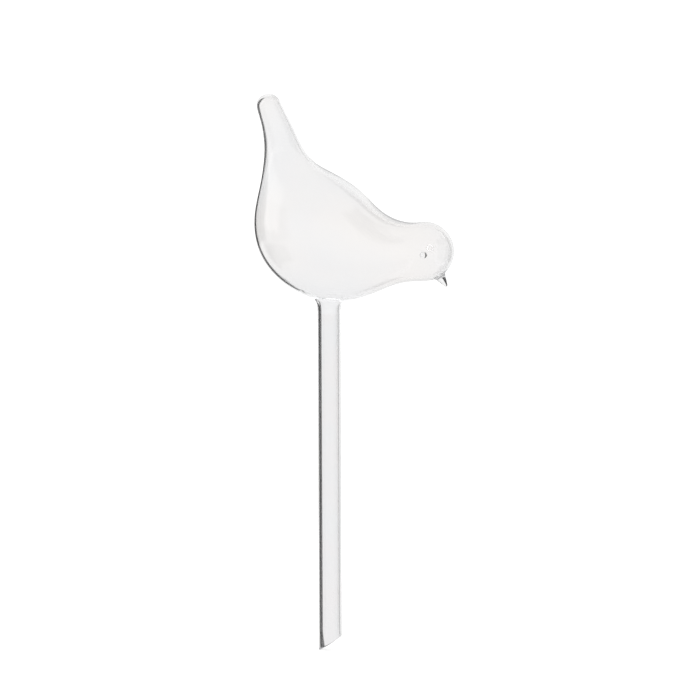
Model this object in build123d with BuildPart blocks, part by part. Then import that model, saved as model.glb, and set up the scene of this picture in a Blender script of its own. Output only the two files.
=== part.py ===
from build123d import *
import os
from math import cos, radians, sin, sqrt, tan

# Hand-blown watering globe: a hollow glass bird on a long glass stem, in millimetres
# The tip of the stem is at the origin, +Z is up, and the bird faces +X

# Stem, a length of drawn tube cut on the slant, whose cut edges are melted round
stem_radius = 5.1
stem_wall = 1.3
stem_length = 151.6
tip_slant = 32.5  # degrees
lip_round = 0.4

# Weld between the stem and the belly: it leaves the stem on a curve and flares at a steady lean
weld_height = 5.9
weld_curve = 9.0
weld_lean = 38.0  # degrees
weld_trim = 4.0  # its length above the belly's lowest point before it is trimmed to the glass

# Bird, one bubble of glass drawn out to a tail and a head
# The middle of the body is over the stem, and reaches are measured from it
body_radius = 26.7
belly_share = 0.982  # depth of the belly under the middle of the body, of its radius
bulb_wall = 1.2
tail_back = 27.1
tail_rise = 60.8
tail_radius = 5.4
neck_reach = 42.6
neck_drop = 6.6
head_radius = 13.2

# Seal that closes the end of the tail
seal_height = 5.3
seal_thickness = 3.4

# Beak, a nib pulled out of the chin
beak_slope = -55.0  # degrees above level
beak_length = 5.4
beak_radius = 2.4
beak_flank = 14.0  # radius of the hollow curve of its side
beak_tip_radius = 0.6

# Eyes, beads of glass melted on
eye_radius = 1.6
eye_stand = 0.4  # height of the bead's middle over the glass
eye_turn = 5.0  # degrees forward of the side of the head

# Rings of the bubble in turn from the tail to the head: how far along the reach, how far
# along the rise or drop, which way the ring faces in degrees above level, and its radius
tail_ring_shares = [
    (1.000, 1.000, -81, 1.00),
    (0.952, 0.939, -66, 1.06),
    (0.810, 0.762, -81, 1.36),
]
back_ring_shares = [
    (0.676, 0.512, -72, 0.485),
    (0.595, 0.362, -62, 0.730),
    (0.401, 0.180, -52, 0.950),
]
neck_ring_shares = [
    (0.000, 0.000, -38, 0.990),
    (0.362, 1.000, -26, 0.816),
    (0.647, 0.915, -21, 0.630),
]
head_ring_shares = [
    (0.917, 0.544, -9, 1.02),
    (1.000, 0.521, 0, 1.00),
]

bore_radius = stem_radius - stem_wall
body_z = stem_length + weld_height + body_radius * belly_share
tail_slope = tail_ring_shares[0][2]
head_drop = neck_drop * head_ring_shares[-1][1]


def across(x, z, slope):
    """A plane across the bird's length, facing along it at a slope."""
    turn = radians(slope)
    return Plane(origin=(x, 0, z), x_dir=(0, 1, 0), z_dir=(cos(turn), 0, sin(turn)))


def lengthwise(x, z, slope):
    """A plane whose Y climbs at a slope, for the outline of a turned piece."""
    turn = radians(slope)
    return Plane(origin=(x, 0, z), x_dir=(0, 1, 0), z_dir=(sin(turn), 0, -cos(turn)))


def slope_axis(x, z, slope):
    """The line through a point of the bird's middle that climbs at a slope."""
    return Axis((x, 0, z), (cos(radians(slope)), 0, sin(radians(slope))))


def cap_outline(radius, height):
    """Half the outline of a round cap, from its rim to its top."""
    return RadiusArc((radius, 0), (0, height), -(radius**2 + height**2) / height / 2)


def rings_along(reach, rise, radius, ring_shares):
    return [
        (across(reach * along, body_z + rise * up, slope), radius * size)
        for along, up, slope, size in ring_shares
    ]


rings = (
    rings_along(-tail_back, tail_rise, tail_radius, tail_ring_shares)
    + rings_along(-tail_back, tail_rise, body_radius, back_ring_shares)
    + rings_along(neck_reach, -neck_drop, body_radius, neck_ring_shares)
    + rings_along(neck_reach, -neck_drop, head_radius, head_ring_shares)
)


def bubble(inset):
    """The form of the bird, its glass skinned by an inset, open and flat at the tail."""
    with BuildPart() as form:
        with BuildLine() as spine:
            Spline(*[plane.origin for plane, radius in rings])
        for plane, radius in rings:
            with BuildSketch(plane):
                Circle(radius - inset)
        sweep(path=spine.wires()[0], multisection=True)
        with Locations(rings[-1][0].origin):
            Sphere(
                head_radius - inset,
                arc_size1=0,
                rotation=(0, 90, 0),
                align=(Align.CENTER, Align.CENTER, Align.MIN),
            )
    return form.part


bird_form = bubble(0)
os.makedirs("parts", exist_ok=True)

# Shell of the bird with the hole that the stem opens into
with BuildPart() as bulb_shell:
    add(bird_form)
    add(bubble(bulb_wall), mode=Mode.SUBTRACT)
    with Locations((0, 0, stem_length)):
        Cylinder(
            bore_radius,
            body_z - stem_length,
            align=(Align.CENTER, Align.CENTER, Align.MIN),
            mode=Mode.SUBTRACT,
        )
bulb_shell.part.label = "bulb_shell"
export_step(bulb_shell.part, "parts/bulb_shell.step")

# Seal of the tail, a dome over a shallow hollow
seal_place = (-tail_back, body_z + tail_rise, tail_slope + 180)
with BuildPart() as tail_seal:
    with BuildSketch(lengthwise(*seal_place)):
        with BuildLine():
            dome = cap_outline(tail_radius, seal_height)
            hollow = cap_outline(tail_radius - bulb_wall, seal_height - seal_thickness)
            Line(dome @ 0, hollow @ 0)
            Line(dome @ 1, hollow @ 1)
        make_face()
    revolve(axis=slope_axis(*seal_place))
tail_seal.part.label = "tail_seal"
export_step(tail_seal.part, "parts/tail_seal.step")

# Stem, cut on the slant so that its rounded tip is lowest behind the axis
lip_angle = radians(90 - tip_slant) / 2
lip_drop = lip_round / tan(lip_angle) - lip_round
cut_plane = Plane(
    origin=(-stem_radius, 0, -lip_drop),
    z_dir=(-sin(radians(tip_slant)), 0, cos(radians(tip_slant))),
)
with BuildPart() as stem_tube:
    with BuildSketch(Plane.XY.offset(-lip_drop)):
        Circle(stem_radius)
        Circle(bore_radius, mode=Mode.SUBTRACT)
    extrude(amount=stem_length + lip_drop)
    split(bisect_by=cut_plane, keep=Keep.TOP)
    fillet(stem_tube.faces().sort_by(Axis.Z)[0].edges(), lip_round)
stem_tube.part.label = "stem_tube"
export_step(stem_tube.part, "parts/stem_tube.step")

# Weld, a flared ring with the stem's bore through it, trimmed to the belly
with BuildPart() as neck_weld:
    with BuildSketch(Plane.XZ):
        with BuildLine():
            curve = JernArc((stem_radius, stem_length), (0, 1), weld_curve, -weld_lean)
            flare = PolarLine(
                curve @ 1,
                stem_length + weld_height + weld_trim - (curve @ 1).Y,
                direction=curve % 1,
                length_mode=LengthMode.VERTICAL,
            )
            Polyline(
                flare @ 1,
                (bore_radius, (flare @ 1).Y),
                (bore_radius, stem_length),
                (stem_radius, stem_length),
            )
        make_face()
    revolve(axis=Axis.Z)
    add(bird_form, mode=Mode.SUBTRACT)
neck_weld.part.label = "neck_weld"
export_step(neck_weld.part, "parts/neck_weld.step")

# Beak, turned about a line through the middle of the head and seated on the chin
beak_root = sqrt(head_radius**2 - beak_radius**2)
beak_end = head_radius + beak_length
beak_place = (neck_reach, body_z - head_drop, beak_slope)
with BuildPart() as beak:
    with BuildSketch(lengthwise(*beak_place)):
        with BuildLine():
            tip = CenterArc((0, beak_end - beak_tip_radius), beak_tip_radius, 0, 90)
            flank = RadiusArc((beak_radius, beak_root), tip @ 0, beak_flank)
            Polyline(
                flank @ 0,
                (beak_radius, beak_root - beak_radius),
                (0, beak_root - beak_radius),
                tip @ 1,
            )
        make_face()
    revolve(axis=slope_axis(*beak_place))
    add(bird_form, mode=Mode.SUBTRACT)
beak.part.label = "beak"
export_step(beak.part, "parts/beak.step")

# Eyes, one on each side of the head
for name, side in (("eye_right", -1), ("eye_left", 1)):
    with BuildPart() as eye:
        eye_reach = head_radius + eye_stand
        with Locations(
            (
                neck_reach + eye_reach * sin(radians(eye_turn)),
                side * eye_reach * cos(radians(eye_turn)),
                body_z - head_drop,
            )
        ):
            Sphere(eye_radius)
        add(bird_form, mode=Mode.SUBTRACT)
    eye.part.label = name
    export_step(eye.part, f"parts/{name}.step")
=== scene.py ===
# Hand-blown glass watering globe, a bird on a slant-cut stem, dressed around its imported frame
import bmesh
import bpy
import numpy as np
from math import asin, atan2, cos, hypot, pi, radians, sin, sqrt, tan
from mathutils import Matrix, Vector, noise
from mathutils.bvhtree import BVHTree


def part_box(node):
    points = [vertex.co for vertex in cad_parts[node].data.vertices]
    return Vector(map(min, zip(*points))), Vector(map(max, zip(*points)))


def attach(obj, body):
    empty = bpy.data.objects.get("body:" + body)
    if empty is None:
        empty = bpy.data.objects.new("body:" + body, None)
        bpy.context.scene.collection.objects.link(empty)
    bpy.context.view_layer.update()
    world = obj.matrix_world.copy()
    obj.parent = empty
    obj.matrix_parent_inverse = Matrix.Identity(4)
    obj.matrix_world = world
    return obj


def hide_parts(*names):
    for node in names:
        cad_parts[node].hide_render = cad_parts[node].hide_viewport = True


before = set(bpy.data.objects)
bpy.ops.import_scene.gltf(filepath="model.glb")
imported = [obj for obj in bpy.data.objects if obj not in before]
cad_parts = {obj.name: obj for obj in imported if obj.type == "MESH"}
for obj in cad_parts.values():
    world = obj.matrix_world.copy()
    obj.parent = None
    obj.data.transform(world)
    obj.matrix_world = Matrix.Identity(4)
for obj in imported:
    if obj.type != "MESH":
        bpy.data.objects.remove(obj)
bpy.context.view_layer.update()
scene = bpy.context.scene
print("frame loaded, nodes:", len(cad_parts))

mm = 0.001
white = (1.0, 1.0, 1.0, 1.0)
stemLow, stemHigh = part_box("stem_tube")
stemRadius = (stemHigh.y - stemLow.y) / 2
stemTop = stemHigh.z


# Camera, at the photograph's angle

camera = {
    "azimuth": 7.5,          # degrees round from the front
    "elevation": 7.5,        # degrees
    "distance": 3.0,
    "frameWidth": 0.3118,    # width of the view where the globe stands
    "lookAt": (0.0093, 0.0, 0.1356),
    "sensor": 36.0,
    "clip": (0.05, 60.0),
}


def makeCamera():
    data = bpy.data.cameras.new("camera")
    data.sensor_width = camera["sensor"]
    data.lens = camera["sensor"] * camera["distance"] / camera["frameWidth"]
    data.clip_start, data.clip_end = camera["clip"]
    body = bpy.data.objects.new("camera", data)
    scene.collection.objects.link(body)
    around, up = radians(camera["azimuth"]), radians(camera["elevation"])
    back = Vector((sin(around) * cos(up), -cos(around) * cos(up), sin(up)))
    body.location = Vector(camera["lookAt"]) + back * camera["distance"]
    body.rotation_euler = (-back).to_track_quat("-Z", "Y").to_euler()
    scene.camera = body


makeCamera()
print("camera placed")


# Node helpers

def addNode(tree, kind, **values):
    node = tree.nodes.new(kind)
    for name, value in values.items():
        if hasattr(node, name):
            setattr(node, name, value)
        else:
            node.inputs[name].default_value = value
    return node


def mathNode(tree, operation, first, second=None):
    node = addNode(tree, "ShaderNodeMath", operation=operation)
    for socket, value in zip(node.inputs, (first, second)):
        if isinstance(value, bpy.types.NodeSocket):
            tree.links.new(value, socket)
        elif value is not None:
            socket.default_value = value
    return node.outputs[0]


def times(tree, first, second):
    return mathNode(tree, "MULTIPLY", first, second)


def oneMinus(tree, value):
    return mathNode(tree, "SUBTRACT", 1.0, value)


def rampUp(tree, value, low, high, toLow=0.0, toHigh=1.0):
    node = addNode(tree, "ShaderNodeMapRange", interpolation_type="SMOOTHSTEP")
    tree.links.new(value, node.inputs["Value"])
    for name, level in (("From Min", low), ("From Max", high), ("To Min", toLow), ("To Max", toHigh)):
        node.inputs[name].default_value = level
    return node.outputs["Result"]


# Studio: white all round, with dark flags out of view that draw the edges of the glass

studio = {
    "light": 0.80,           # what falls on matt things
    "reflected": 0.84,       # what mirrors off the outside of the glass
    "seenThrough": 1.0,      # what shows through the glass
    "overhead": 0.86,        # share of it high up and low down
    "overheadStart": 14.0,   # degrees from level
    "overheadFull": 42.0,
    "floorRadius": 9.0,
    "floorSides": 64,
    "floorRoughness": 0.9,
    "floorColour": (0.86, 0.86, 0.85, 1.0),
    "floorGlow": 0.55,       # added where the camera looks at the floor
    # each flag is a card: its middle in degrees round from the back towards the right, its half width,
    # its lowest and highest edge and its soft edge in degrees; then how dark it is, and the share of
    # that in what mirrors off the outside of the glass
    "flags": [
        {"card": (-32.5, 8.5, -15.0, 40.0, 2.5), "dark": 0.98, "mirrored": 1.0},
        {"card": (-60.5, 19.5, -16.0, 40.0, 2.5), "dark": 0.98, "mirrored": 0.1},
        {"card": (-30.5, 8.5, -38.0, -14.5, 2.0), "dark": 0.95, "mirrored": 0.8},
        {"card": (48.0, 18.0, -20.0, 24.0, 5.0), "dark": 0.50, "mirrored": 0.4},
        {"card": (94.0, 24.0, -26.0, 22.0, 6.0), "dark": 0.55, "mirrored": 0.3},
        {"card": (-96.0, 30.0, -42.0, -20.0, 4.0), "dark": 0.85, "mirrored": 0.3},
    ],
    "panel": (-98.0, 15.0, -4.0, 56.0, 9.0),    # a lit card, only seen as a soft streak on the glass
    "panelLight": 1.0,
}


def cardMask(tree, flat, height, card):
    # Where a card stands round the globe, soft at its edges
    toward, half, low, high, soft = (radians(value) for value in card)
    along = addNode(tree, "ShaderNodeVectorMath", operation="DOT_PRODUCT")
    tree.links.new(flat, along.inputs[0])
    along.inputs[1].default_value = (sin(toward), cos(toward), 0.0)
    sideways = rampUp(tree, along.outputs["Value"], cos(half + soft), cos(half - soft))
    above = rampUp(tree, height, sin(low - soft / 2), sin(low + soft / 2))
    below = rampUp(tree, height, sin(high - soft), sin(high + soft), 1.0, 0.0)
    return times(tree, times(tree, sideways, above), below)


def makeWorld():
    world = bpy.data.worlds.new("studio")
    world.use_nodes = True
    tree = world.node_tree
    tree.nodes.clear()
    look = addNode(tree, "ShaderNodeTexCoord").outputs["Generated"]
    parts = addNode(tree, "ShaderNodeSeparateXYZ")
    tree.links.new(look, parts.inputs[0])
    level = addNode(tree, "ShaderNodeCombineXYZ")
    tree.links.new(parts.outputs["X"], level.inputs["X"])
    tree.links.new(parts.outputs["Y"], level.inputs["Y"])
    normalized = addNode(tree, "ShaderNodeVectorMath", operation="NORMALIZE")
    tree.links.new(level.outputs[0], normalized.inputs[0])
    flat, height = normalized.outputs[0], parts.outputs["Z"]

    # What stands behind the glass, and what stands round it to be mirrored
    start, full = (sin(radians(studio[key])) for key in ("overheadStart", "overheadFull"))
    around = rampUp(tree, mathNode(tree, "ABSOLUTE", height), start, full, 1.0, studio["overhead"])
    behind = around
    for flag in studio["flags"]:
        shade = times(tree, cardMask(tree, flat, height, flag["card"]), flag["dark"])
        behind = times(tree, behind, oneMinus(tree, shade))
        around = times(tree, around, oneMinus(tree, times(tree, shade, flag["mirrored"])))
    panel = times(tree, cardMask(tree, flat, height, studio["panel"]), studio["panelLight"])
    around = mathNode(tree, "ADD", times(tree, around, studio["reflected"]), panel)

    # Each kind of ray meets its own studio: plain white for the camera, even light for matt things
    path = addNode(tree, "ShaderNodeLightPath").outputs
    refracted = path["Is Transmission Ray"]
    through = times(tree, times(tree, behind, studio["seenThrough"]), refracted)
    mirrored = times(tree, around, times(tree, path["Is Glossy Ray"], oneMinus(tree, refracted)))
    falling = times(tree, path["Is Diffuse Ray"], studio["light"])
    total = mathNode(tree, "ADD", mathNode(tree, "ADD", path["Is Camera Ray"], through),
                     mathNode(tree, "ADD", mirrored, falling))
    background = addNode(tree, "ShaderNodeBackground", Color=white)
    tree.links.new(total, background.inputs["Strength"])
    output = addNode(tree, "ShaderNodeOutputWorld")
    tree.links.new(background.outputs[0], output.inputs[0])
    scene.world = world


def makeFloor():
    bm = bmesh.new()
    bmesh.ops.create_circle(bm, cap_ends=True, segments=studio["floorSides"], radius=studio["floorRadius"])
    mesh = bpy.data.meshes.new("floor")
    bm.to_mesh(mesh)
    bm.free()
    floor = bpy.data.objects.new("floor", mesh)
    scene.collection.objects.link(floor)
    material = bpy.data.materials.new("paleFloor")
    material.use_nodes = True
    tree = material.node_tree
    shader = tree.nodes["Principled BSDF"]
    shader.inputs["Base Color"].default_value = studio["floorColour"]
    shader.inputs["Roughness"].default_value = studio["floorRoughness"]
    shader.inputs["Specular IOR Level"].default_value = 0.0
    shader.inputs["Emission Color"].default_value = white
    path = addNode(tree, "ShaderNodeLightPath").outputs
    glow = times(tree, path["Is Camera Ray"], studio["floorGlow"])
    tree.links.new(glow, shader.inputs["Emission Strength"])
    mesh.materials.append(material)
    floor.visible_transmission = False    # the glass shows the white studio through the floor
    floor.visible_glossy = False


makeWorld()
makeFloor()
print("studio made")


# Lamp: one large softbox to the left of the camera

softbox = {
    "place": (-0.75, -0.85, 0.75),
    "aim": (0.0, 0.0, 0.15),
    "width": 0.45,
    "height": 0.75,
    "power": 1.6,
}


def makeSoftbox():
    data = bpy.data.lights.new("softbox", "AREA")
    data.shape = "RECTANGLE"
    data.size, data.size_y = softbox["width"], softbox["height"]
    data.energy = softbox["power"]
    lamp = bpy.data.objects.new("softbox", data)
    scene.collection.objects.link(lamp)
    lamp.visible_glossy = False
    lamp.visible_transmission = False
    lamp.location = softbox["place"]
    aim = Vector(softbox["aim"]) - lamp.location
    lamp.rotation_euler = aim.to_track_quat("-Z", "Y").to_euler()


makeSoftbox()
print("lamp placed")


# Finishes

melt = {
    "detail": 1.5,
    "cool": (0.38, 0.62),    # share of the noise at which the cool tint begins, and at which it is full
}

touch = {
    "detail": 4.0,
    "grain": 0.6,
    "patch": (0.52, 0.78),    # share of the noise at which a patch begins, and at which it is full
    "lineDetail": 2.0,
}

colourFirst, colourSecond, colourMixed = 6, 7, 2    # colour sockets of a Mix node


def makeGroup(name, inputs, outputs):
    group = bpy.data.node_groups.new(name, "ShaderNodeTree")
    for label, kind, value in inputs:
        socket = group.interface.new_socket(label, in_out="INPUT", socket_type=kind)
        if value is not None:
            socket.default_value = value
    for label, kind in outputs:
        group.interface.new_socket(label, in_out="OUTPUT", socket_type=kind)
    entry = group.nodes.new("NodeGroupInput")
    leave = group.nodes.new("NodeGroupOutput")
    return group, entry.outputs, leave.inputs


def makeMeltGroup():
    # Colour of the melt: clear glass that drifts between a warm and a cool tint in soft clouds
    group, given, out = makeGroup(
        "meltTint",
        [("Vector", "NodeSocketVector", None), ("Scale", "NodeSocketFloat", 20.0),
         ("Warm", "NodeSocketColor", white), ("Cool", "NodeSocketColor", white)],
        [("Color", "NodeSocketColor")])
    clouds = addNode(group, "ShaderNodeTexNoise", Detail=melt["detail"])
    group.links.new(given["Vector"], clouds.inputs["Vector"])
    group.links.new(given["Scale"], clouds.inputs["Scale"])
    blend = addNode(group, "ShaderNodeMix", data_type="RGBA")
    group.links.new(rampUp(group, clouds.outputs["Fac"], *melt["cool"]), blend.inputs["Factor"])
    group.links.new(given["Warm"], blend.inputs[colourFirst])
    group.links.new(given["Cool"], blend.inputs[colourSecond])
    group.links.new(blend.outputs[colourMixed], out["Color"])
    return group


def makeTouchGroup():
    # Touch marks: a clean surface with faint patches of handling, and the drawn lines of worked glass
    group, given, out = makeGroup(
        "touchMarks",
        [("Vector", "NodeSocketVector", None), ("Patch Scale", "NodeSocketFloat", 60.0),
         ("Clean", "NodeSocketFloat", 0.0), ("Touched", "NodeSocketFloat", 0.05),
         ("Line Scale", "NodeSocketFloat", 240.0)],
        [("Roughness", "NodeSocketFloat"), ("Height", "NodeSocketFloat")])
    patches = addNode(group, "ShaderNodeTexNoise", Detail=touch["detail"], Roughness=touch["grain"])
    group.links.new(given["Vector"], patches.inputs["Vector"])
    group.links.new(given["Patch Scale"], patches.inputs["Scale"])
    spread = addNode(group, "ShaderNodeMapRange", interpolation_type="SMOOTHSTEP")
    spread.inputs["From Min"].default_value, spread.inputs["From Max"].default_value = touch["patch"]
    group.links.new(patches.outputs["Fac"], spread.inputs["Value"])
    group.links.new(given["Clean"], spread.inputs["To Min"])
    group.links.new(given["Touched"], spread.inputs["To Max"])
    group.links.new(spread.outputs["Result"], out["Roughness"])
    lines = addNode(group, "ShaderNodeTexNoise", Detail=touch["lineDetail"])
    group.links.new(given["Vector"], lines.inputs["Vector"])
    group.links.new(given["Line Scale"], lines.inputs["Scale"])
    group.links.new(lines.outputs["Fac"], out["Height"])
    return group


meltTint = makeMeltGroup()
touchMarks = makeTouchGroup()

glassBody = {
    "ior": 1.47,
    "depth": 1.0 * mm,        # of a drawn line, at a relief of 1
    "followed": 3.5,          # reflections inside a wall, past which its light is no longer followed
    "passed": 2.5,            # faces that light has gone through before it is caught in the far wall
    "weldNear": 18 * mm,      # from the top of the stem, where the light piped at the weld is full
    "weldFar": 26 * mm,       # and where it is as elsewhere
}

# Each finish: a warm and a cool tint and how fine their clouds are, the painted shade at the rim of a wall
# and where it starts, the roughness of touch marks and how fine they are, the drawn lines with their
# stretch, their turn and their relief, then the painted glow for the light piped along inside a wall, and
# how much more of it there is at the weld and in the far wall
finishes = {
    "blownGlass": {
        "warm": (0.966, 0.955, 0.948, 1.0), "cool": (0.944, 0.945, 0.949, 1.0), "drift": 22.0,
        "edge": 0.985, "edgeShadeStart": 0.80, "touched": 0.012, "patches": 55.0,
        "lines": 30.0, "stretch": (1.0, 1.0, 0.25), "turn": (0.0, -0.6, 0.0), "relief": 0.02,
        "piped": (0.22, 0.22, 0.225, 1.0), "pipedAtWeld": 3.4, "pipedBeyond": 3.0,
    },
    "tubeGlass": {
        "warm": (0.932, 0.924, 0.926, 1.0), "cool": (0.924, 0.926, 0.930, 1.0), "drift": 60.0,
        "edge": 0.90, "edgeShadeStart": 0.72, "touched": 0.012, "patches": 80.0,
        "lines": 140.0, "stretch": (1.0, 1.0, 0.02), "turn": (0.0, 0.0, 0.0), "relief": 0.02,
        "piped": (0.22, 0.22, 0.225, 1.0), "pipedAtWeld": 1.0, "pipedBeyond": 3.6,
    },
    "beadGlass": {
        "warm": (0.950, 0.945, 0.940, 1.0), "cool": (0.945, 0.950, 0.955, 1.0), "drift": 150.0,
        "edge": 0.90, "edgeShadeStart": 0.60, "touched": 0.01, "patches": 200.0,
        "lines": 300.0, "stretch": (1.0, 1.0, 1.0), "turn": (0.0, 0.0, 0.0), "relief": 0.01,
        "piped": (0.06, 0.06, 0.06, 1.0), "pipedAtWeld": 1.0, "pipedBeyond": 1.0,
    },
}


def makeGlass(name, finish):
    material = bpy.data.materials.new(name)
    material.use_nodes = True
    tree = material.node_tree
    shader = tree.nodes["Principled BSDF"]
    shader.inputs["IOR"].default_value = glassBody["ior"]
    shader.inputs["Transmission Weight"].default_value = 1.0
    shader.inputs["Metallic"].default_value = 0.0
    place = addNode(tree, "ShaderNodeTexCoord").outputs["Object"]

    tint = addNode(tree, "ShaderNodeGroup", node_tree=meltTint)
    tree.links.new(place, tint.inputs["Vector"])
    tint.inputs["Scale"].default_value = finish["drift"]
    tint.inputs["Warm"].default_value = finish["warm"]
    tint.inputs["Cool"].default_value = finish["cool"]
    # Painted shade: the base colour is darkened where a wall is seen edge-on, standing in for the dark rims
    # of glass
    facing = addNode(tree, "ShaderNodeLayerWeight", Blend=0.5).outputs["Facing"]
    rim = rampUp(tree, facing, finish["edgeShadeStart"], 1.0, 1.0, finish["edge"])
    shade = addNode(tree, "ShaderNodeVectorMath", operation="SCALE")
    tree.links.new(tint.outputs["Color"], shade.inputs[0])
    tree.links.new(rim, shade.inputs["Scale"])
    tree.links.new(shade.outputs[0], shader.inputs["Base Color"])

    drawn = addNode(tree, "ShaderNodeMapping")
    drawn.inputs["Rotation"].default_value = finish["turn"]
    drawn.inputs["Scale"].default_value = finish["stretch"]
    tree.links.new(place, drawn.inputs["Vector"])
    marks = addNode(tree, "ShaderNodeGroup", node_tree=touchMarks)
    tree.links.new(drawn.outputs[0], marks.inputs["Vector"])
    marks.inputs["Patch Scale"].default_value = finish["patches"]
    marks.inputs["Touched"].default_value = finish["touched"]
    marks.inputs["Line Scale"].default_value = finish["lines"]
    tree.links.new(marks.outputs["Roughness"], shader.inputs["Roughness"])
    bump = addNode(tree, "ShaderNodeBump", Strength=finish["relief"], Distance=glassBody["depth"])
    tree.links.new(marks.outputs["Height"], bump.inputs["Height"])
    tree.links.new(bump.outputs[0], shader.inputs["Normal"])

    # Painted glow, emitted by the glass, standing in for the light that a real wall pipes along inside
    # itself, past the last reflection that is followed
    path = addNode(tree, "ShaderNodeLightPath").outputs
    shader.inputs["Emission Color"].default_value = finish["piped"]
    away = addNode(tree, "ShaderNodeVectorMath", operation="DISTANCE")
    tree.links.new(place, away.inputs[0])
    away.inputs[1].default_value = (0.0, 0.0, stemTop)
    atWeld = rampUp(tree, away.outputs["Value"], glassBody["weldNear"], glassBody["weldFar"],
                    finish["pipedAtWeld"], 1.0)
    caught = mathNode(tree, "GREATER_THAN", path["Transmission Depth"], glassBody["passed"])
    more = mathNode(tree, "MAXIMUM", atWeld, times(tree, caught, finish["pipedBeyond"]))
    late = mathNode(tree, "GREATER_THAN", path["Glossy Depth"], glassBody["followed"])
    tree.links.new(times(tree, late, more), shader.inputs["Emission Strength"])
    return material


def makeJoin():
    # Where two pieces are melted into one glass, the face between them doesn't show
    material = bpy.data.materials.new("meltedJoin")
    material.use_nodes = True
    shader = material.node_tree.nodes["Principled BSDF"]
    shader.inputs["Alpha"].default_value = 0.0
    return material


glass = {name: makeGlass(name, finish) for name, finish in finishes.items()}
meltedJoin = makeJoin()
print("finishes made")


# Rings of vertices, which every piece of the skin is drawn from

def ringPlace(x, z, slope, radius):
    # Where a ring stands: it faces along the bird at a slope, with its first vertex on the belly's side
    turn = radians(slope)
    basis = Matrix(((sin(turn), 0, cos(turn), 0), (0, 1, 0, 0), (-cos(turn), 0, sin(turn), 0), (0, 0, 0, 1)))
    return Matrix.Translation((x, 0, z)) @ basis @ Matrix.Scale(radius, 4)


def startRing(bm, count, place):
    # A ring in order of angle: one that rounding puts a hair under no angle still comes first
    hair = 1e-6    # radians
    verts = bmesh.ops.create_circle(bm, segments=count, radius=1.0)["verts"]
    verts.sort(key=lambda v: (atan2(v.co.y, v.co.x) + hair) % (2 * pi))
    bmesh.ops.transform(bm, matrix=place, verts=verts)
    return verts


def tagFaces(bm, made, name):
    mark = bm.faces.layers.int["piece"]
    for face in made:
        if isinstance(face, bmesh.types.BMFace):
            face[mark] = pieceNames.index(name)


def growRing(bm, ring, name):
    # Extrudes a ring, gives the faces to a piece and returns the new ring in the same order
    edges = [bm.edges.get((a, b)) for a, b in zip(ring, ring[1:] + ring[:1])]
    made = bmesh.ops.extrude_edge_only(bm, edges=edges)["geom"]
    tagFaces(bm, made, name)
    fresh = {v.co.to_tuple(): v for v in made if isinstance(v, bmesh.types.BMVert)}
    return [fresh[v.co.to_tuple()] for v in ring]


def closeRing(bm, ring, pole, name):
    last = growRing(bm, ring, name)
    bmesh.ops.pointmerge(bm, verts=last, merge_co=pole)


def smoothRows(rows, count):
    # A natural cubic through the rows, by the way from ring to ring
    rows = np.array(rows, float)
    run = np.concatenate(([0.0], np.cumsum(np.hypot(*np.diff(rows[:, :2], axis=0).T))))
    gap = np.diff(run)
    system, pull = np.eye(len(run)), np.zeros_like(rows)
    for k in range(1, len(run) - 1):
        system[k, k - 1:k + 2] = gap[k - 1], 2 * (gap[k - 1] + gap[k]), gap[k]
        pull[k] = 6 * ((rows[k + 1] - rows[k]) / gap[k] - (rows[k] - rows[k - 1]) / gap[k - 1])
    bend = np.linalg.solve(system, pull)
    made = []
    for at in np.linspace(0.0, run[-1], count):
        k = min(int(np.searchsorted(run, at, side="right")) - 1, len(gap) - 1)
        a, b, h = run[k + 1] - at, at - run[k], gap[k]
        made.append((bend[k] * a**3 + bend[k + 1] * b**3) / (6 * h)
                    + (rows[k] / h - bend[k] * h / 6) * a + (rows[k + 1] / h - bend[k + 1] * h / 6) * b)
    return made


# Bird: one bubble, drawn out to a tail and a head

pieceNames = ["glass_bird", "tail_tip", "stem_weld", "stem", "beak_nib", "eye_bead_right", "eye_bead_left"]

bird = {
    "around": 160,                # vertices round each ring
    "along": 150,                 # rings from the tail to the head
    "middle": stemTop + 32.1 * mm,    # height of the middle of the body
    # rings from the tail to the head, in mm: ahead of the stem, above the middle of the body, which
    # way the ring faces in degrees above level, its radius, its wall, and half the wall added to the back
    "rings": [
        (-27.1, 60.8, -81, 5.40, 0.80, 0.0),
        (-25.8, 57.1, -66, 5.72, 0.75, 0.0),
        (-22.0, 46.3, -81, 7.34, 0.75, 0.0),
        (-18.3, 31.1, -72, 12.95, 0.85, 0.1),
        (-16.1, 22.0, -62, 19.50, 1.10, 0.5),
        (-10.9, 10.9, -52, 25.37, 1.25, 0.6),
        (0.0, 0.0, -38, 26.37, 1.25, 0.6),
        (15.4, -6.6, -26, 21.79, 1.20, 0.3),
        (27.6, -6.0, -21, 16.82, 1.10, 0.1),
        (39.1, -3.6, -9, 13.46, 1.00, 0.0),
        (42.6, -3.4, 0, 13.20, 1.00, 0.0),
    ],
    "tailDome": 5.3 * mm,         # height of the closed end of the tail
    "tailGlass": 1.4 * mm,        # its thickness
    "domeRings": 12,
    "headRings": 26,
}


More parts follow.
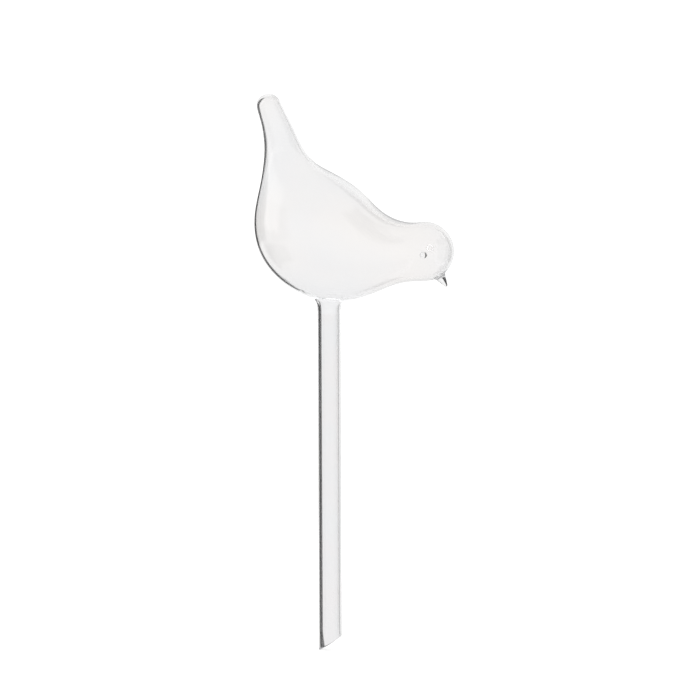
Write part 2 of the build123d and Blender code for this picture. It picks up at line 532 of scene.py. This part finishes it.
def birdRings(hollow):
    # Ring places of one skin of the bird, the end of the tail first, with its two poles
    places = []
    for x, z, slope, radius, wall, back in smoothRows(bird["rings"], bird["along"]):
        lower = max(back, 0.0) if hollow else 0.0
        size = radius - lower - (wall if hollow else 0.0)
        place = ringPlace(x * mm, bird["middle"] + z * mm, slope, size * mm)
        places.append(place @ Matrix.Translation((lower / size, 0, 0)))
    first, last = places[0], places[-1]
    radius, wall = bird["rings"][0][3:5]
    dome = bird["tailDome"] / mm / radius
    if hollow:
        dome = (bird["tailDome"] - bird["tailGlass"]) / mm / (radius - wall)
    tail, head = [], []
    for k in range(1, bird["domeRings"]):
        turn = k / bird["domeRings"] * pi / 2
        tail.append(first @ Matrix.Translation((0, 0, -dome * sin(turn))) @ Matrix.Scale(cos(turn), 4))
    for k in range(1, bird["headRings"]):
        turn = k / bird["headRings"] * pi / 2
        head.append(last @ Matrix.Translation((0, 0, sin(turn))) @ Matrix.Scale(cos(turn), 4))
    return tail[::-1] + places + head, first @ Vector((0, 0, -dome)), last @ Vector((0, 0, 1))


def drawBird(bm, hollow):
    places, tailPole, headPole = birdRings(hollow)
    rings = [startRing(bm, bird["around"], places[0])]
    for last, place in zip(places, places[1:]):
        name = "tail_tip" if len(rings) < bird["domeRings"] else "glass_bird"
        rings.append(growRing(bm, rings[-1], name))
        bmesh.ops.transform(bm, matrix=place @ last.inverted(), verts=rings[-1])
    closeRing(bm, rings[0], tailPole, "tail_tip")
    closeRing(bm, rings[-1], headPole, "glass_bird")
    return rings


# Openings and bumps in the skin: a block of faces comes out and rings grow from its rim

beyondReach = 10.0            # metres, further than any vertex
rayStart = 0.2                # metres from the middle, outside all the glass


def patchFrame(origin, axis):
    out = Vector(axis).normalized()
    side = Vector((0, 1, 0))
    return {"origin": Vector(origin), "out": out, "side": side, "ahead": side.cross(out)}


def localPoint(at, ahead, side, out=0.0):
    return at["origin"] + at["ahead"] * ahead + at["side"] * side + at["out"] * out


def openBlock(bm, rings, at, halfRings, halfSteps):
    # Takes out the block of faces that the patch's axis goes through, and returns its rim in order

    def far(spot):
        v = rings[spot[0]][spot[1]]
        if not v.is_valid:
            return beyondReach
        reach = v.co - at["origin"]
        along = reach.dot(at["out"])
        return (reach - at["out"] * along).length + (beyondReach if along < 0 else 0.0)

    k, j = min(((k, j) for k in range(len(rings)) for j in range(len(rings[k]))), key=far)
    count = len(rings[k])
    rows = range(k - halfRings, k + halfRings + 1)
    steps = range(j - halfSteps, j + halfSteps + 1)
    block = {rings[r][s % count] for r in rows for s in steps}
    rim = [rings[rows[0]][s % count] for s in steps[:-1]]
    rim += [rings[r][steps[-1] % count] for r in rows[:-1]]
    rim += [rings[rows[-1]][s % count] for s in reversed(steps[1:])]
    rim += [rings[r][steps[0] % count] for r in reversed(rows[1:])]
    faces = [f for f in bm.faces if all(v in block for v in f.verts)]
    bmesh.ops.delete(bm, geom=faces, context="FACES")
    return rim


def angleOf(at, v):
    local = v.co - at["origin"]
    return atan2(local.dot(at["side"]), local.dot(at["ahead"]))


def roundRing(bm, ring, at, place):
    # Grows a ring from a rim, with its vertices evenly round the axis; place gives each one from its angle
    fresh = growRing(bm, ring, "glass_bird")
    first, second = angleOf(at, ring[0]), angleOf(at, ring[1])
    way = 1 if (second - first) % (2 * pi) < pi else -1
    for k, v in enumerate(fresh):
        v.co = place(first + way * 2 * pi * k / len(fresh))
    return fresh


def onSkin(tree, at, ahead, side):
    # The point of the glass under a place of the patch
    return tree.ray_cast(localPoint(at, ahead, side, rayStart), -at["out"])[0]


# Weld and stem

weld = {
    "edge": 7.6 * mm,         # radius of its edge on the belly
    "ahead": 0.40 * mm,       # how far the edge leans towards the head
    "rings": 12,              # down its flare
    "around": (12, 12),       # half the block of faces that it takes the place of
    "margins": (2.8 * mm, 1.4 * mm, 0.0),    # how far outside the edge the rings on the belly are
    "mouth": 7.0 * mm,        # radius of the hollow's mouth over it
    "seat": 0.9 * mm,         # where the bore begins to open, over the stem's top
}

stem = {
    "wall": 1.1 * mm,
    "rings": 22,
    "slant": 32.5,            # degrees
    "slantFrom": 22.0 * mm,   # height at which the rings begin to lean to the cut
    "lip": 0.5 * mm,          # how far the melted edge stands out from the cut
    "lipRings": 8,
    "tipSteps": 32,           # places round the cut that are tried for its lowest point
    "lean": (-0.15 * mm, 0.45 * mm),    # how far ahead its axis is at its top and at its tip
}


def stemPoint(turn, radius, height, lean):
    # A vertex of the stem, on a ring that leans to the slanted cut
    x, y = radius * cos(turn), radius * sin(turn)
    top, tip = stem["lean"]
    return Vector((x + tip + (top - tip) * height / stemTop, y, height + lean * x))


def tipMiddle():
    # Height of the middle of the cut with its lowest point on the floor
    lean = tan(radians(stem["slant"]))
    half, middle = stem["wall"] / 2, stemRadius - stem["wall"] / 2
    turns = [pi / 2 * k / stem["tipSteps"] for k in range(stem["tipSteps"] + 1)]
    return max(lean * (middle + half * cos(t)) - stem["lip"] * (1 - sin(t)) for t in turns)


def flare(bm, ring, radius, foot):
    # A trumpet from the belly down to a round tube: it leaves the glass smoothly and ends upright
    slopes = []
    for v in ring:
        out = next(e.other_vert(v) for e in v.link_edges if e.other_vert(v) not in ring)
        slopes.append((v.co - out.co).normalized())
    tops = [v.co.copy() for v in ring]
    for k in range(1, weld["rings"] + 1):
        t = k / weld["rings"]
        ring = growRing(bm, ring, "stem_weld")
        for v, top, slope in zip(ring, tops, slopes):
            end = stemPoint(atan2(top.y, top.x - weld["ahead"]), radius, foot, 0.0)
            reach = hypot(top.x - end.x, top.y - end.y) / hypot(slope.x, slope.y)
            bend = Vector((end.x, end.y, top.z + slope.z * reach))
            v.co = top * (1 - t) ** 2 + bend * 2 * t * (1 - t) + end * t * t
    return ring


def drawWeldAndStem(bm, outer, inner, outerTree, innerTree):
    axis = patchFrame((0, 0, bird["middle"]), (0, 0, -1))
    bore = stemRadius - stem["wall"]

    def openBelly(rings, tree, radius):
        # Opens the belly and lays rings on it, in to a radius
        ring = openBlock(bm, rings, axis, *weld["around"])
        for more in weld["margins"]:
            wide = radius + more
            ring = roundRing(bm, ring, axis, lambda t: onSkin(
                tree, axis, wide * cos(t) + weld["ahead"], wide * sin(t)))
        return ring

    # Outside, from the belly down the flare
    ring = flare(bm, openBelly(outer, outerTree, weld["edge"]), stemRadius, stemTop)
    turns = [atan2(v.co.y, v.co.x - stem["lean"][0]) for v in ring]

    # Down the outside of the stem, round the melted lip and up the bore
    slant = tan(radians(stem["slant"]))
    cut = tipMiddle()
    heights = np.linspace(stemTop, cut + stem["lip"], stem["rings"] + 1)[1:]

    def leanAt(height):
        share = max(0.0, 1 - (height - cut) / (stem["slantFrom"] - cut))
        return slant * share * share * (3 - 2 * share)

    def growStem(ring, radius, height, lean):
        ring = growRing(bm, ring, "stem")
        for v, turn in zip(ring, turns):
            v.co = stemPoint(turn, radius, height, lean)
        return ring

    for height in heights:
        ring = growStem(ring, stemRadius, height, leanAt(height))
    middle, half = stemRadius - stem["wall"] / 2, stem["wall"] / 2
    for k in range(1, stem["lipRings"] + 1):
        roll = pi * k / stem["lipRings"]
        ring = growStem(ring, middle + half * cos(roll), cut + stem["lip"] * (1 - sin(roll)), slant)
    for height in heights[-2::-1]:
        ring = growStem(ring, bore, height, leanAt(height))
    ring = growStem(ring, bore, stemTop, 0.0)

    # The hollow's mouth, from inside the belly down to the bore
    inside = flare(bm, openBelly(inner, innerTree, weld["mouth"]), bore, stemTop + weld["seat"])
    edges = [bm.edges.get((a, b)) for loop in (ring, inside) for a, b in zip(loop, loop[1:] + loop[:1])]
    tagFaces(bm, bmesh.ops.bridge_loops(bm, edges=edges)["faces"], "stem_weld")


# Beak and eyes, melted onto the head

headAhead, headAbove, headRadius = (bird["rings"][-1][k] * mm for k in (0, 1, 3))
headMiddle = Vector((headAhead, 0, bird["middle"] + headAbove))

beak = {
    "slope": -57.0,           # degrees above level
    "around": (5, 7),
    # distance from its axis and height over the head, in mm, from the root to the tip
    "outline": [(3.1, 0.0), (2.75, 0.12), (2.42, 0.5), (2.12, 1.15), (1.75, 2.1), (1.38, 3.1), (1.02, 4.1),
                (0.78, 4.75), (0.55, 5.15), (0.28, 5.35)],
    "tip": 5.4 * mm,
}

eye = {
    "radius": 1.6 * mm,
    "stand": 0.4 * mm,
    "turn": 5.0,              # degrees forward of the side
    "around": (3, 5),
    "rings": 12,
}

bumps = {
    "margin": 1.25,           # ring on the head outside its root, of the root's radius
    "settled": 0.5,           # share of its height over which its rings stop following the head
}


def overHead(radius):
    # How far the round of the head stands out, at a distance from a line through its middle
    return sqrt(max(headRadius**2 - radius**2, 0.0))


def bumpOn(bm, rings, tree, at, block, outline, top, name):
    # Grows a turned bump from the head: outline gives its distance from the axis and height over the glass
    ring = openBlock(bm, rings, at, *block)
    first = outline[0][0]
    for wide in (first * bumps["margin"], first):
        ring = roundRing(bm, ring, at, lambda t: onSkin(tree, at, wide * cos(t), wide * sin(t)))
    base = [(v.co - at["origin"]).dot(at["out"]) for v in ring]
    peak = (onSkin(tree, at, 0, 0) - at["origin"]).dot(at["out"])
    for radius, height in outline[1:]:
        fade = min(1.0, height / (top * bumps["settled"]))
        angles = [angleOf(at, v) for v in ring]
        ring = growRing(bm, ring, name)
        for v, turn, low in zip(ring, angles, base):
            foot = low + (overHead(radius) - overHead(first)) * (1 - fade) + (peak - low) * fade
            v.co = localPoint(at, radius * cos(turn), radius * sin(turn), foot + height)
    closeRing(bm, ring, localPoint(at, 0, 0, peak + top), name)


def drawBeak(bm, rings, tree):
    slope = radians(beak["slope"])
    at = patchFrame(headMiddle, (cos(slope), 0, sin(slope)))
    outline = [(radius * mm, height * mm) for radius, height in beak["outline"]]
    bumpOn(bm, rings, tree, at, beak["around"], outline, beak["tip"], "beak_nib")


def drawEye(bm, rings, tree, side, name):
    turn = radians(eye["turn"])
    out = Vector((sin(turn), side * cos(turn), 0))
    ahead = Vector((cos(turn), -side * sin(turn), 0))
    at = {"origin": headMiddle, "out": out, "ahead": ahead, "side": out.cross(ahead)}
    start = -asin(eye["stand"] / eye["radius"])
    outline = []
    for k in range(eye["rings"]):
        rise = start + (pi / 2 - start) * k / eye["rings"]
        outline.append((eye["radius"] * cos(rise), eye["stand"] + eye["radius"] * sin(rise)))
    bumpOn(bm, rings, tree, at, eye["around"], outline, eye["stand"] + eye["radius"], name)


# The skin is drawn whole, then parted at the welds

skin = {
    "wave": 0.05 * mm,        # how far the blown surface wanders
    "waveScale": 55.0,        # waves per metre
    "stillBelow": stemTop + 12 * mm,
    "fullAbove": stemTop + 24 * mm,
    "wallReach": 2.5 * mm,    # the two rims of a parted wall have their middles nearer than this
}

solidPieces = ("beak_nib", "eye_bead_right", "eye_bead_left")


def drawSkin():
    bm = bmesh.new()
    bm.faces.layers.int.new("piece")
    outer = drawBird(bm, hollow=False)
    outerTree = BVHTree.FromBMesh(bm)
    inside = bmesh.new()
    inside.faces.layers.int.new("piece")
    drawBird(inside, hollow=True)
    innerTree = BVHTree.FromBMesh(inside)
    inside.free()
    inner = drawBird(bm, hollow=True)
    drawWeldAndStem(bm, outer, inner, outerTree, innerTree)
    drawBeak(bm, outer, outerTree)
    drawEye(bm, outer, outerTree, -1, "eye_bead_right")
    drawEye(bm, outer, outerTree, 1, "eye_bead_left")
    bmesh.ops.recalc_face_normals(bm, faces=bm.faces)
    bm.normal_update()
    for v in bm.verts:
        share = min(1.0, max(0.0, (v.co.z - skin["stillBelow"]) / (skin["fullAbove"] - skin["stillBelow"])))
        v.co += v.normal * noise.noise(v.co * skin["waveScale"]) * skin["wave"] * share
    bm.normal_update()
    keep = bm.verts.layers.float_vector.new("skinNormal")
    for v in bm.verts:
        v[keep] = v.normal
    print("skin drawn:", len(bm.faces), "faces, open edges:", sum(e.is_boundary for e in bm.edges),
          "other edges:", sum(not e.is_manifold for e in bm.edges))
    return bm


def boundaryLoops(bm):
    left, loops = {e for e in bm.edges if e.is_boundary}, []
    while left:
        edge = left.pop()
        loop, grow = [edge], [edge]
        while grow:
            linked = {e for v in grow.pop().verts for e in v.link_edges if e in left}
            left -= linked
            loop += linked
            grow += linked
        loops.append(loop)
    return loops


def loopCentre(loop):
    points = [v.co for e in loop for v in e.verts]
    return sum(points, Vector()) / len(points)


def partSkin(whole, name, finish, nodes):
    # One piece of the skin as a closed glass of its own: where it was parted, a hidden face closes it
    bm = whole.copy()
    mark = bm.faces.layers.int["piece"]
    others = [f for f in bm.faces if f[mark] != pieceNames.index(name)]
    bmesh.ops.delete(bm, geom=others, context="FACES")
    before = set(bm.faces)
    loops = boundaryLoops(bm)
    while loops:
        loop = loops.pop()
        mate = next((l for l in loops if name not in solidPieces
                     and (loopCentre(l) - loopCentre(loop)).length < skin["wallReach"]), None)
        if mate:
            loops.remove(mate)
            bmesh.ops.bridge_loops(bm, edges=loop + mate)
        else:
            bmesh.ops.contextual_create(bm, geom=loop)
    for face in bm.faces:
        face.smooth = True
        face.material_index = 0 if face in before else 1
    bmesh.ops.recalc_face_normals(bm, faces=bm.faces)
    unclosed = sum(not e.is_manifold for e in bm.edges)
    mesh = bpy.data.meshes.new(name)
    bm.to_mesh(mesh)
    bm.free()
    mesh.materials.append(glass[finish])
    mesh.materials.append(meltedJoin)
    normals = np.zeros(len(mesh.vertices) * 3, np.float32)
    mesh.attributes["skinNormal"].data.foreach_get("vector", normals)
    mesh.normals_split_custom_set_from_vertices(normals.reshape(-1, 3))
    mesh.attributes.remove(mesh.attributes["skinNormal"])
    piece = bpy.data.objects.new(name, mesh)
    scene.collection.objects.link(piece)
    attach(piece, "root")
    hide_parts(*nodes)
    print("piece", name, len(mesh.polygons), "faces, open or doubled edges:", unclosed)


whole = drawSkin()
partSkin(whole, "glass_bird", "blownGlass", ["bulb_shell"])
partSkin(whole, "tail_tip", "blownGlass", ["tail_seal"])
partSkin(whole, "stem_weld", "blownGlass", ["neck_weld"])
partSkin(whole, "stem", "tubeGlass", ["stem_tube"])
partSkin(whole, "beak_nib", "beadGlass", ["beak"])
partSkin(whole, "eye_bead_right", "beadGlass", ["eye_right"])
partSkin(whole, "eye_bead_left", "beadGlass", ["eye_left"])
whole.free()
print("pieces parted")

scene.view_settings.view_transform = "Standard"
